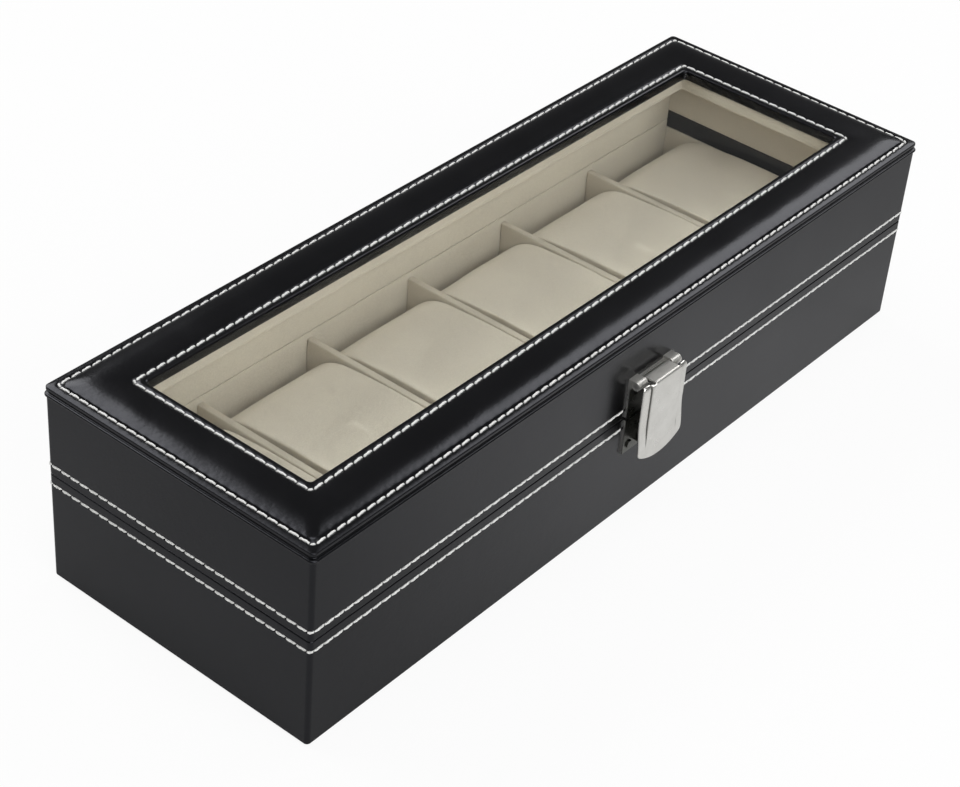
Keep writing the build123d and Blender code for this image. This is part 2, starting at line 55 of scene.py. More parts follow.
# ---------------- named values, in millimetres
# Padded top frame: places are (inset from the outside of the box, height above the lid walls)
BOX_CORNER = 1.4  # radius of the box's upright corners
FRAME_BORDER = 20.0  # from the outside of the box to the window's edge
OUTER_LINE, INNER_LINE = 2.6, 17.4  # insets of the two lines of stitches
FRAME_EDGE_START = -0.15  # inset of the outermost edge
FRAME_EDGE_RADIUS = 0.4
FRAME_EDGE_TURN = 75.0  # degrees, up to the ridge outside the stitches
FRAME_EDGE_DROP = 0.33  # from the outer stitches down to that turn
FRAME_EDGE_HEIGHT = 2.6
# Its leather wraps down over the lid's sides to a rolled edge, with a groove above it
FRAME_WRAP = [(-0.02, 0.02), (-0.02, -1.02), (-0.15, -1.05), (-0.38, -0.98), (-0.55, -0.80)]
FRAME_WRAP += [(-0.62, -0.55), (-0.58, -0.32), (-0.45, -0.15), (-0.25, -0.06), (0.0, 0.02)]
FRAME_GROOVE = [(0.30, 0.10), (0.36, 0.30), (0.36, 0.60), (0.25, 0.78), (0.05, 0.92)]
FRAME_GROOVE += [(-0.10, 1.10), (-0.15, 1.35)]
FRAME_CROWN = 4.0
FRAME_CROWN_INSET = 9.5
FRAME_LIP_HEIGHT = 3.7
FRAME_LIP_RADIUS = 0.8
FRAME_BOARD = 1.5
FRAME_LUMPS = 0.13
FRAME_SOFT_FROM = 1.2  # the ring is uneven and puckered only above this height
FRAME_STEPS = (456, 152, 8)  # points along each long side, short side and corner
LEATHER = 0.6
SEAT_HALF_WIDTH = 0.62  # of the channel that a line of stitches pulls into the leather
OUTER_SEAT_HEIGHT = 2.1
INNER_SEAT_HEIGHT = 3.35
PUCKER_DEPTH = 0.16  # extra pull of each stitch
PUCKER_REACH = 0.9
PUCKER_END = 3.0  # from a corner, where the puckers stop
PUCKER_LEAST = 0.004  # a weaker pull is left out

# Stitches
STITCH_PITCH = 3.9
STITCH_GAP = 0.42  # on the padded frame
SIDE_STITCH_GAP = 0.22
SIDE_SEAT_DEPTH = 0.25  # stitches on the sides lie this far in
THREAD_RADIUS = 0.37
THREAD_LIFT = 0.45  # height of its middle over the leather, as a share of the radius
THREAD_FLATNESS = 0.9
THREAD_TWIST = 2.2  # quarter turns from the middle of a stitch to its end
PLY_DEPTH = 0.15
STITCH_ARCH = 0.10
STITCH_DIP = 0.22  # how far its ends sink into their holes
STITCH_SLANT = 0.14
STITCH_CORNER = 1.2
SHORTEST_STITCH = 1.2
CLASP_STITCH_GAP = 0.6  # stitches end this far beside the clasp

# Velvet on card
CARD_SOFTNESS = 0.5
PARTING_SOFTNESS = 0.2  # of the back linings, whose nap closes over the parting
CARD_WAVE = 0.12
CARD_WAVES = 60.0  # per metre
GRID_STEP = 3.0
RETAINER_REVEAL = 1.8  # how far the frame under the glass stands back from the window's edge
RETAINER_SOFTNESS = 1.1

# Cushions
CUSHION_SHRINK = (0.55, 1.3, 1.0)  # start shape inside the CAD solid, along X, Y and Z
CUSHION_SEAM = 1.0  # rounding from the end of a pillow to its seam
CUSHION_CLEARANCE = 0.12  # least distance kept from the CAD solid's surface
CUSHION_ROLL = 14.5
CUSHION_LUMPS = 0.35
CUSHION_WAVES = 55.0  # per metre
CUSHION_SETTLE = 0.15  # how far a pillow may lie off its middle
CUSHION_STEPS = (26, 2, 9)  # points along the top, up the front and round each roll
CUSHION_AROUND = 2 * (CUSHION_STEPS[0] + CUSHION_STEPS[1] + 2 * CUSHION_STEPS[2])
CROWN_START = 0.12  # flat middle of a pillow's top, as a share of its half depth
CROWN_FALL_Y, CROWN_FALL_X = 2.2, 0.5
CLOTH_CAP = 5.0  # farthest that the cloth may move
CLOTH_FRAMES = 20
CLOTH_SETTINGS = {
    "quality": 6,
    "mass": 0.2,
    "tension_stiffness": 12,
    "compression_stiffness": 12,
    "shear_stiffness": 6,
    "bending_stiffness": 0.6,
    "air_damping": 2.0,
    "use_pressure": True,
    "uniform_pressure_force": 4.0,
    "vertex_group_mass": "seams",
    "pin_stiffness": 1.0,
}

# Clasp flap
FLAP_SHEET = 0.8
TONGUE_HALF = 6.2
FLAP_CREASE = 7.7
FLAP_CREASE_FOOT = 28.5
FLAP_CREASE_HEAD = 40.0
FLAP_WING_SETBACK = 0.5
FLAP_WING_ROLL = 0.45  # how far the edge of a wing turns back from flat
FLAP_GROOVE = 0.4
FLAP_GROOVE_WIDTH = 0.24
FLAP_SHOULDER_ROLL = 0.7  # how far the tops of the wings turn back
FLAP_SHOULDER_REACH = 1.7
FLAP_BEND = 0.6  # outside radius at the top of the flap
FLAP_CURL = 1.5  # outside radius round the pin
FLAP_BELLY = 3.6  # how far its round lower end reaches below its straight sides
FLAP_GRID = (1.15, 0.55)  # steps of its mesh, across and up
# colour of the painted shade along the flap's creases and on the plates behind the flap
PAINTED_SHADE_TONE = (0.13, 0.13, 0.12)
SATIN_ROUGHNESS = 0.17  # added on top of the clasp, which is not polished
FLAP_SATIN, PLATE_SATIN = 0.3, 3.0  # how far it reaches down
RECESS_FRONT, RECESS_TOP = -52.45, 51.0  # Y and Z limits of the painted shade on the plates' faces behind the flap

# Camera, in metres and degrees, fitted to the photograph's frame of 960 x 787
CAMERA_PLACE = (-0.489180, -0.356734, 0.467643)
CAMERA_AIM = (-0.028878, -0.009701, 0.036261)
CAMERA_ROLL = 4.883
CAMERA_LENS = 87.17
CAMERA_SENSOR = 36.0

# Studio, in metres
FLOOR_WHITENESS = 0.92
FLOOR_HALF = 8.0
# Pool of light on the floor that only reflections show: middle, reach, brightness, share
POOL_PLACE = (0.055, -0.06)
POOL_REACH = (0.03, 0.185)
POOL_NEAR, POOL_FAR = 0.69, 0.20
POOL_SHARE = 0.6
WORLD_GREY = 0.10  # of the room that lights the object
# Round soft lamps aimed at the box: place, width and height, turn in degrees, radiance
LAMPS = {
    "front_softbox": ((-0.35, -1.30, 0.95), (1.70, 1.05), 0, 3.3),
    "right_softbox": ((1.15, 0.00, 1.02), (0.84, 0.97), 4, 2.8),
    "back_softbox": ((-0.13, 1.54, 1.39), (2.25, 1.28), 7, 3.2),
    "overhead_softbox": ((-0.25, -0.20, 1.60), (0.90, 0.90), 0, 2.8),
}

scene = bpy.context.scene


# ---------------- materials
class Recipe:
    """The node tree of a material or a world, written with short calls."""

    def __init__(self, owner):
        owner.use_nodes = True
        self.owner = owner
        self.tree = owner.node_tree
        self.tree.nodes.clear()

    @cached_property
    def place(self):
        """The place on the part, in its own frame, in metres."""
        return self.add("ShaderNodeTexCoord").outputs["Object"]

    @cached_property
    def rays(self):
        """What kind of ray is looking."""
        return self.add("ShaderNodeLightPath").outputs

    def add(self, kind, inputs=None, **settings):
        """A node with some settings, and numbers or links for its inputs."""
        node = self.tree.nodes.new(kind)
        for key, value in settings.items():
            setattr(node, key, value)
        for key, value in (inputs or {}).items():
            if isinstance(value, bpy.types.NodeSocket):
                self.tree.links.new(value, node.inputs[key])
            else:
                node.inputs[key].default_value = value
        return node

    def noise(self, scale, detail=2.0, roughness=0.5, stretch=None, distortion=0.0):
        place = self.place
        if stretch:
            place = self.add("ShaderNodeMapping", {"Vector": place, "Scale": stretch}).outputs[0]
        inputs = {"Vector": place, "Scale": scale, "Detail": detail, "Roughness": roughness}
        inputs["Distortion"] = distortion
        return self.add("ShaderNodeTexNoise", inputs).outputs["Fac"]

    def cells(self, scale, feature="F1"):
        return self.add(
            "ShaderNodeTexVoronoi", {"Vector": self.place, "Scale": scale}, feature=feature
        ).outputs["Distance"]

    def ramp(self, value, low, high, start=0.3, end=0.7):
        """Value, from start to end, turned into a number from low to high."""
        return self.add(
            "ShaderNodeMapRange",
            {"Value": value, "From Min": start, "From Max": end, "To Min": low, "To Max": high},
            interpolation_type="SMOOTHSTEP",
        ).outputs["Result"]

    def blend(self, factor, first, second):
        """A colour between two colours."""
        node = self.add("ShaderNodeMix", {"Factor": factor}, data_type="RGBA")
        for socket, colour in ((node.inputs[6], first), (node.inputs[7], second)):
            if isinstance(colour, bpy.types.NodeSocket):
                self.tree.links.new(colour, socket)
            else:
                socket.default_value = (*colour, 1.0)
        return node.outputs[2]

    def bump(self, height, distance, strength=1.0, normal=None):
        inputs = {"Height": height, "Distance": distance, "Strength": strength}
        if normal is not None:
            inputs["Normal"] = normal
        return self.add("ShaderNodeBump", inputs).outputs["Normal"]

    def axes(self):
        """X, Y and Z of the place on the part."""
        return self.add("ShaderNodeSeparateXYZ", {"Vector": self.place}).outputs

    def math(self, operation, first, second):
        return self.add("ShaderNodeMath", {0: first, 1: second}, operation=operation).outputs[0]

    def straight_view(self):
        """1 for what the camera sees directly or through glass."""
        bounces = self.math("ADD", self.rays["Diffuse Depth"], self.rays["Glossy Depth"])
        straight = self.math("LESS_THAN", bounces, 0.5)
        through = self.math("MULTIPLY", self.rays["Is Transmission Ray"], straight)
        return self.math("MAXIMUM", self.rays["Is Camera Ray"], through)

    def finish(self, shader, output="ShaderNodeOutputMaterial"):
        self.add(output, {"Surface": shader.outputs[0]})
        return self.owner

    def principled(self, tone, roughness, normal, others=None):
        """Finishes a material that is one principled surface."""
        inputs = {"Base Color": tone, "Roughness": roughness, "Normal": normal, **(others or {})}
        return self.finish(self.add("ShaderNodeBsdfPrincipled", inputs))


def new_material(name):
    return Recipe(bpy.data.materials.new(name))


def leather_material():
    """Smooth black coated leather: a fine pebble, soft creases and a slightly uneven shine."""
    m = new_material("black_leather")
    tone = m.blend(m.noise(70, 3), (0.0018, 0.0018, 0.0021), (0.0034, 0.0034, 0.0040))
    shine = m.ramp(m.noise(28, 4, 0.6), 0.20, 0.26)
    pebble = m.bump(m.cells(1000, "SMOOTH_F1"), 0.00005, 0.30)
    creases = m.bump(m.noise(260, 4, 0.6, distortion=0.4), 0.00010, 0.30, pebble)
    hide = m.bump(m.noise(34, 2, 0.5), 0.00030, 0.20, creases)
    mirror = {"Specular IOR Level": 0.44, "Specular Tint": (0.88, 0.90, 1.0, 1.0)}
    return m.principled(tone, shine, hide, mirror)


def velvet_material(name, dark, light, fibre):
    """Short beige pile: brushed patches, fine fibres and velvet's pale rim."""
    m = new_material(name)
    patches = m.ramp(m.noise(45, 4, 0.6), 0.0, 1.0)
    brushed = m.blend(patches, dark, light)
    fibres = m.ramp(m.noise(2600, 2, 0.7), 0.0, 1.0, 0.35, 0.65)
    tone = m.blend(fibres, brushed, fibre)
    pile = m.bump(m.noise(2200, 3, 0.7), 0.00012, 0.45)
    nap = m.bump(m.noise(160, 3, 0.6), 0.00022, 0.35, pile)
    rough = m.ramp(patches, 0.86, 0.96, 0.0, 1.0)
    sheen = {"Sheen Weight": 0.35, "Sheen Roughness": 0.45, "Sheen Tint": (1.0, 0.97, 0.90, 1.0)}
    return m.principled(tone, rough, nap, {"Specular IOR Level": 0.15, **sheen})


def thread_material():
    """White twisted thread with a soft fuzz."""
    m = new_material("white_thread")
    tone = m.blend(m.noise(900, 3, 0.6), (0.84, 0.84, 0.82), (0.93, 0.93, 0.91))
    fuzz = m.bump(m.noise(5200, 3, 0.7), 0.00006, 0.5)
    return m.principled(tone, m.ramp(m.noise(1500), 0.45, 0.65), fuzz, {"Sheen Weight": 0.2})


def metal_material(
    name, dark, light, rough_low, rough_high, stretch, grain, painted_shade=None, satin=None
):
    """Plated metal with faint brush lines and handling marks.

    Its colour is darkened to a painted shade where the shade mask is 1, and rougher where
    satin(recipe) is 1.
    """
    m = new_material(name)
    tone = m.blend(m.ramp(m.noise(180, 3, 0.6), 0.0, 1.0), dark, light)
    # painted shade: the colour darkens towards the dark tone where the mask is 1
    if painted_shade:
        tone = m.blend(painted_shade(m), tone, PAINTED_SHADE_TONE)
    lines = m.noise(900, 3, 0.6, stretch=stretch)
    shine = m.ramp(m.noise(320, 4, 0.65), rough_low, rough_high)
    if satin:
        shine = m.math("ADD", shine, m.math("MULTIPLY", satin(m), SATIN_ROUGHNESS))
    face = m.bump(lines, 0.00002, grain)
    return m.principled(tone, shine, face, {"Metallic": 1.0})


def crease_painted_shade(m):
    """1 along the bottom of the flap's two creases, where the colour is darkened as painted shade.
    """
    x, _, z = m.axes()
    off = m.math("SUBTRACT", m.math("ABSOLUTE", x, 0.0), FLAP_CREASE * MM)
    line = m.ramp(m.math("ABSOLUTE", off, 0.0), 1.0, 0.0, 0.05 * MM, FLAP_GROOVE_WIDTH * MM)
    upward = m.ramp(z, 0.0, 1.0, (FLAP_CREASE_FOOT + 1.0) * MM, (FLAP_CREASE_FOOT + 4.0) * MM)
    return m.math("MULTIPLY", line, upward)


def recess_painted_shade(m):
    """1 on the faces of the fixed plates behind the flap, where the colour is darkened as painted
    shade.
    """
    _, y, z = m.axes()
    behind = m.ramp(y, 1.0, 0.0, (RECESS_FRONT - 0.1) * MM, (RECESS_FRONT + 0.1) * MM)
    below = m.ramp(z, 1.0, 0.0, (RECESS_TOP - 0.5) * MM, (RECESS_TOP + 0.5) * MM)
    return m.math("MULTIPLY", behind, below)


def on_top(reach):
    """A mask that is 1 on the clasp's top and down to this far below it."""
    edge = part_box("clasp_flap")[1].z - reach * MM
    return lambda m: m.ramp(m.axes()["Z"], 0.0, 1.0, edge - 0.2 * MM, edge + 0.2 * MM)


def board_material():
    """Bare fibreboard: pressed fibres in two browns."""
    m = new_material("fibreboard")
    fibres = m.noise(700, 5, 0.7, stretch=(1.0, 1.0, 3.0))
    tone = m.blend(m.ramp(fibres, 0.0, 1.0), (0.155, 0.110, 0.070), (0.270, 0.205, 0.140))
    return m.principled(tone, 0.9, m.bump(fibres, 0.0002, 0.6))


def felt_material():
    """Black felt under the box: matted fibres."""
    m = new_material("black_felt")
    fibres = m.noise(1300, 6, 0.75, distortion=1.2)
    tone = m.blend(m.ramp(fibres, 0.0, 1.0), (0.010, 0.010, 0.011), (0.035, 0.035, 0.037))
    return m.principled(tone, 0.97, m.bump(fibres, 0.0003, 0.8), {"Sheen Weight": 0.3})


def foam_material():
    """Open-celled foam."""
    m = new_material("foam")
    holes = m.cells(1600)
    tone = m.blend(m.ramp(holes, 0.0, 1.0, 0.1, 0.6), (0.42, 0.40, 0.36), (0.62, 0.60, 0.55))
    return m.principled(tone, 0.95, m.bump(holes, 0.0003, 0.7))


def glass_material():
    """Clear float glass that lets the lamps through, with faint wipe marks in its shine."""
    m = new_material("clear_glass")
    wiped = m.ramp(m.noise(22, 4, 0.6, distortion=1.5), 0.0, 0.035)
    glass = m.add(
        "ShaderNodeBsdfPrincipled",
        {
            "Base Color": (0.985, 1.0, 0.99, 1.0),
            "Roughness": wiped,
            "IOR": 1.5,
            "Specular IOR Level": 0.3,
            "Transmission Weight": 1.0,
        },
    )
    clear = m.add("ShaderNodeBsdfTransparent", {"Color": (0.97, 0.99, 0.975, 1.0)})
    shadow = m.rays["Is Shadow Ray"]
    both = m.add("ShaderNodeMixShader", {0: shadow, 1: glass.outputs[0], 2: clear.outputs[0]})
    return m.finish(both)


def floor_material():
    """A pale floor that shows as white and keeps the object's shadow.

    In a reflection it is brightest in a pool of light beside the box, and dimmer further out.
    """
    m = new_material("studio_floor")
    tone = m.blend(m.noise(3, 3), (0.89, 0.89, 0.89), (0.91, 0.91, 0.91))
    surface = m.add(
        "ShaderNodeBsdfPrincipled",
        {"Base Color": tone, "Roughness": 0.9, "Specular IOR Level": 0.0},
    )
    reach = m.add(
        "ShaderNodeVectorMath", {0: m.place, 1: (*POOL_PLACE, 0.0)}, operation="DISTANCE"
    ).outputs["Value"]
    pool = m.blend(m.ramp(reach, 0.0, 1.0, *POOL_REACH), (POOL_NEAR,) * 3, (POOL_FAR,) * 3)
    mirrored = m.math("GREATER_THAN", m.rays["Is Glossy Ray"], m.rays["Is Transmission Ray"])
    white = m.add("ShaderNodeEmission", {"Color": m.blend(mirrored, (1.0, 1.0, 1.0), pool)})
    share = m.math(
        "MAXIMUM",
        m.math("MULTIPLY", m.straight_view(), FLOOR_WHITENESS),
        m.math("MULTIPLY", mirrored, POOL_SHARE),
    )
    both = m.add("ShaderNodeMixShader", {0: share, 1: surface.outputs[0], 2: white.outputs[0]})
    return m.finish(both)


leather = leather_material()
velvet = velvet_material(
    "beige_velvet", (0.560, 0.504, 0.420), (0.625, 0.565, 0.474), (0.660, 0.600, 0.510)
)
# A lighter copy of the same velvet: painted light that brightens the cushions under the glass.
pillow_velvet = velvet_material(
    "beige_velvet_pillow", (0.635, 0.572, 0.480), (0.700, 0.634, 0.536), (0.735, 0.670, 0.572)
)
thread = thread_material()
board = board_material()
felt = felt_material()
foam = foam_material()
glass = glass_material()
nickel_look = ((0.80, 0.79, 0.75), (0.87, 0.86, 0.82), 0.27, 0.31, (1.0, 1.0, 12.0), 0.25)
nickel = metal_material("bright_nickel", *nickel_look)
# the flap's copy carries painted shade along its two creases
flap_nickel = metal_material(
    "bright_nickel_flap", *nickel_look, painted_shade=crease_painted_shade, satin=on_top(FLAP_SATIN)
)
# the plates' copy carries painted shade on its faces behind the flap
plate_nickel = metal_material(
    "bright_nickel_plate", *nickel_look, painted_shade=recess_painted_shade, satin=on_top(PLATE_SATIN)
)
steel = metal_material(
    "hinge_steel", (0.45, 0.44, 0.42), (0.56, 0.55, 0.53), 0.22, 0.34, (12.0, 1.0, 1.0), 0.5
)


# ---------------- making pieces
def make_piece(name, points, faces, material, body, replaces=()):
    """A smooth-shaded mesh from points in metres, riding on a CAD body in place of CAD nodes."""
    mesh = bpy.data.meshes.new(name)
    mesh.from_pydata(np.asarray(points, float).tolist(), [], faces)
    mesh.polygons.foreach_set("use_smooth", [True] * len(mesh.polygons))
    mesh.materials.append(material)
    piece = bpy.data.objects.new(name, mesh)
    scene.collection.objects.link(piece)
    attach(piece, body)
    if replaces:
        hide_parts(*replaces)
    return piece


def rounded_rectangle(half_x, half_y, radius, steps_x, steps_y, corner_steps):
    """Points round a rounded rectangle, anticlockwise from the left end of its front side."""
    flat_x, flat_y = half_x - radius, half_y - radius
    points = []
    corners = ((1, -1, -90), (1, 1, 0), (-1, 1, 90), (-1, -1, 180))
    starts = ((-flat_x, -half_y), (half_x, -flat_y), (flat_x, half_y), (-half_x, flat_y))
    for (side_x, side_y, turn), start, steps in zip(corners, starts, (steps_x, steps_y) * 2):
        middle = np.array((side_x * flat_x, side_y * flat_y))
        angle = math.radians(turn)
        end = middle + radius * np.array((math.cos(angle), math.sin(angle)))
        share = np.arange(steps)[:, None] / steps
        points.append(np.array(start) * (1 - share) + end * share)
        angles = np.radians(turn + 90 * np.arange(corner_steps) / corner_steps)
        points.append(middle + radius * np.stack((np.cos(angles), np.sin(angles)), 1))
    return np.concatenate(points)


def bridge(loops, around, closed):
    """Quads between loops of points, all with the same number of points."""
    faces = []
    for i in range(loops if closed else loops - 1):
        a, b = i * around, ((i + 1) % loops) * around
        faces += [
            (a + j, a + (j + 1) % around, b + (j + 1) % around, b + j) for j in range(around)
        ]
    return faces


# ---------------- padded top frame
half_x, half_y, wall_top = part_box("lid_leather_cover")[1]
EDGE_INSETS = [
    FRAME_EDGE_START + FRAME_EDGE_RADIUS * (1 - math.cos(math.radians(FRAME_EDGE_TURN * k / 6)))
    for k in range(7)
]


def frame_height(inset):
    """Height of the padded leather above the lid walls, by the inset from the outside."""
    ridge = EDGE_INSETS[-1]
    if inset < ridge:
        turn = math.acos(1 - (inset - FRAME_EDGE_START) / FRAME_EDGE_RADIUS)
        below = math.sin(math.radians(FRAME_EDGE_TURN)) - math.sin(turn)
        return FRAME_EDGE_HEIGHT - FRAME_EDGE_DROP - FRAME_EDGE_RADIUS * below
    if inset < OUTER_LINE:
        left = (OUTER_LINE - inset) / (OUTER_LINE - ridge)
        return FRAME_EDGE_HEIGHT - FRAME_EDGE_DROP * left**2
    if inset < FRAME_CROWN_INSET:
        rise = (inset - OUTER_LINE) / (FRAME_CROWN_INSET - OUTER_LINE)
        return FRAME_EDGE_HEIGHT + (FRAME_CROWN - FRAME_EDGE_HEIGHT) * (1 - (1 - rise) ** 2.3)
    if inset < INNER_LINE:
        fall = (inset - FRAME_CROWN_INSET) / (INNER_LINE - FRAME_CROWN_INSET)
        return FRAME_CROWN - (FRAME_CROWN - FRAME_LIP_HEIGHT) * fall**1.7
    if inset < FRAME_BORDER - FRAME_LIP_RADIUS:
        return FRAME_LIP_HEIGHT
    over = inset - (FRAME_BORDER - FRAME_LIP_RADIUS)
    return FRAME_LIP_HEIGHT - FRAME_LIP_RADIUS + math.sqrt(max(0.0, FRAME_LIP_RADIUS**2 - over**2))


def channel(inset, line, seat):
    """How far a line of stitches pulls the leather down to its seat."""
    if abs(inset - line) > 1.6 * SEAT_HALF_WIDTH:
        return 0.0
    share = 0.5 + 0.5 * math.cos(math.pi * (inset - line) / (1.6 * SEAT_HALF_WIDTH))
    return max(0.0, frame_height(line) - seat) * share


def frame_section():
    """The closed section of the padded leather ring, as (inset, height)."""
    foot = [(LEATHER, FRAME_BOARD), (LEATHER, 0.02), *FRAME_WRAP, *FRAME_GROOVE]
    near_outer = [0.4, 0.7, 1.0, 1.3] + [OUTER_LINE + SEAT_HALF_WIDTH * k / 3 for k in range(-5, 6)]
    slope = [4.4, 5.0, 5.7, 6.5, 7.4, 8.4, 9.5, 10.8, 12.2, 13.6, 15.0]
    near_inner = [INNER_LINE + SEAT_HALF_WIDTH * k / 3 for k in range(-5, 6)]
    lip = [
        FRAME_BORDER - FRAME_LIP_RADIUS * (1 - math.sin(math.radians(a)))
        for a in (15, 30, 45, 60, 75, 90)
    ]
    insets = EDGE_INSETS + near_outer + slope + near_inner + lip
    insets = [u for k, u in enumerate(insets) if k == 0 or u > insets[k - 1] + 0.02]
    over = []
    for u in insets:
        height = frame_height(min(u, FRAME_BORDER))
        height -= channel(u, OUTER_LINE, OUTER_SEAT_HEIGHT)
        height -= channel(u, INNER_LINE, INNER_SEAT_HEIGHT)
        over.append((u, height))
    inner_face = [(FRAME_BORDER, height) for height in (2.0, 1.0, 0.3)]
    inner_face += [(FRAME_BORDER - 0.2, 0.02)]
    under = [(FRAME_BORDER - LEATHER, 0.02), (FRAME_BORDER - LEATHER, FRAME_BOARD)]
    return foot + over + inner_face + under


def corner_of(inset):
    """Corner radius of the ring's loops: small at the window, fuller over the padding."""
    if inset < 0:
        return BOX_CORNER - inset
    if inset < 1.5:
        return BOX_CORNER + 0.57 * inset
    if inset < FRAME_CROWN_INSET:
        return 2.0 + 1.6 * inset / FRAME_CROWN_INSET
    return 3.6 - 2.2 * (inset - FRAME_CROWN_INSET) / (FRAME_BORDER - FRAME_CROWN_INSET)


# Each stitch line on the frame: its inset, and the straight lengths between its corners
stitch_lines = [
    (line, 2 * (half_x - (line + STITCH_CORNER) * MM), 2 * (half_y - (line + STITCH_CORNER) * MM))
    for line in (OUTER_LINE, INNER_LINE)
]


def pucker(loop, inset):
    """Pulls one loop of the ring down at every stitch of the lines near it."""
    x, y = np.abs(loop[:, 0]), np.abs(loop[:, 1])
    on_long = (x < half_x - (inset + PUCKER_END) * MM) & (y > half_y - (inset + 0.01) * MM)
    on_short = (y < half_y - (inset + PUCKER_END) * MM) & (x > half_x - (inset + 0.01) * MM)
    for line, length_x, length_y in stitch_lines:
        pull = math.exp(-(((inset - line) / PUCKER_REACH) ** 2)) * PUCKER_DEPTH * MM
        if pull < PUCKER_LEAST * MM:
            continue
        for axis, chosen, length in ((0, on_long, length_x), (1, on_short, length_y)):
            count = round(length / (STITCH_PITCH * MM))
            phase = (loop[:, axis] / length + 0.5) * count
            wave = 0.5 + 0.5 * np.cos(2 * math.pi * phase)
            loop[:, 2] -= np.where(chosen, pull * wave, 0.0)


def unevenness(loop, inset):
    """Moves one loop of the ring up and down as its padding is fuller or thinner."""
    fullness = math.sin(math.pi * min(max(inset / FRAME_BORDER, 0.0), 1.0))
    for point in loop:
        soft = noise.noise(Vector((point[0], point[1], 0.0)) * 38.0)
        soft += 0.5 * noise.noise(Vector((point[0], point[1], 5.0)) * 110.0)
        point[2] += soft * FRAME_LUMPS * MM * fullness


def padded_frame():
    """The padded leather ring round the window, with the pull of every stitch."""
    section = frame_section()
    loops = []
    for inset, height in section:
        flat = rounded_rectangle(
            half_x - inset * MM, half_y - inset * MM, corner_of(inset) * MM, *FRAME_STEPS
        )
        loop = np.column_stack((flat, np.full(len(flat), wall_top + height * MM)))
        if height >= FRAME_SOFT_FROM:
            pucker(loop, inset)
            unevenness(loop, inset)
        loops.append(loop)
    ring = make_piece(
        "lid_padded_top",
        np.concatenate(loops),
        bridge(len(section), len(loops[0]), closed=True),
        leather,
        "lid",
        ("top_frame_leather", "top_frame_padding"),
    )


# ---------------- stitching
def stitch_ends(spans, break_half):
    """Where each stitch starts and ends, in metres along the line, which runs round the box.

    The first of its spans keeps its middle bare, this far to both sides.
    """
    starts, ends, begin = [], [], 0.0
    for span in spans:
        count = max(1, round(span / (STITCH_PITCH * MM)))
        for k in range(count):
            starts.append(begin + span * k / count)
            ends.append(begin + span * (k + 1) / count)
        begin += span
    starts, ends = np.array(starts), np.array(ends)
    if break_half:
        middle = spans[0] / 2
        before = starts < middle - break_half
        after = (ends > middle + break_half) & (starts < spans[0])
        beyond = starts >= spans[0] - 1e-9
        ends[before] = np.minimum(ends[before], middle - break_half)
        starts[after] = np.maximum(starts[after], middle + break_half)
        long_enough = (before | after | beyond) & (ends - starts > SHORTEST_STITCH * MM)
        starts, ends = starts[long_enough], ends[long_enough]
    return starts, ends


def two_ply(centre, across, out, along):
    """Points and faces of two-ply stitches, by the middles of their sections.

    along runs from -1 to 1 from one end of a stitch to the other. across and out span a section.
    """
    girth = THREAD_RADIUS * MM * np.sqrt(np.maximum(0.10, 1 - np.abs(along) ** 9))
    turn = np.linspace(0, 2 * math.pi, 10, endpoint=False)
    twist = THREAD_TWIST * along[:, None] * math.pi / 2
    ply = 1 + PLY_DEPTH * np.cos(2 * (turn[None, :] - twist))
    radii = girth[:, None] * ply
    points = (
        centre[:, :, None, :]
        + across[:, :, None, :] * (radii * np.cos(turn))[None, :, :, None]
        + out[:, :, None, :] * (radii * np.sin(turn) * THREAD_FLATNESS)[None, :, :, None]
    )
    sections, around = len(along), len(turn)
    size = sections * around
    one = bridge(sections, around, closed=False)
    one += [tuple(range(around))[::-1], tuple(range(size - around, size))]
    faces = [tuple(v + k * size for v in face) for k in range(len(centre)) for face in one]
    return points.reshape(-1, 3), faces


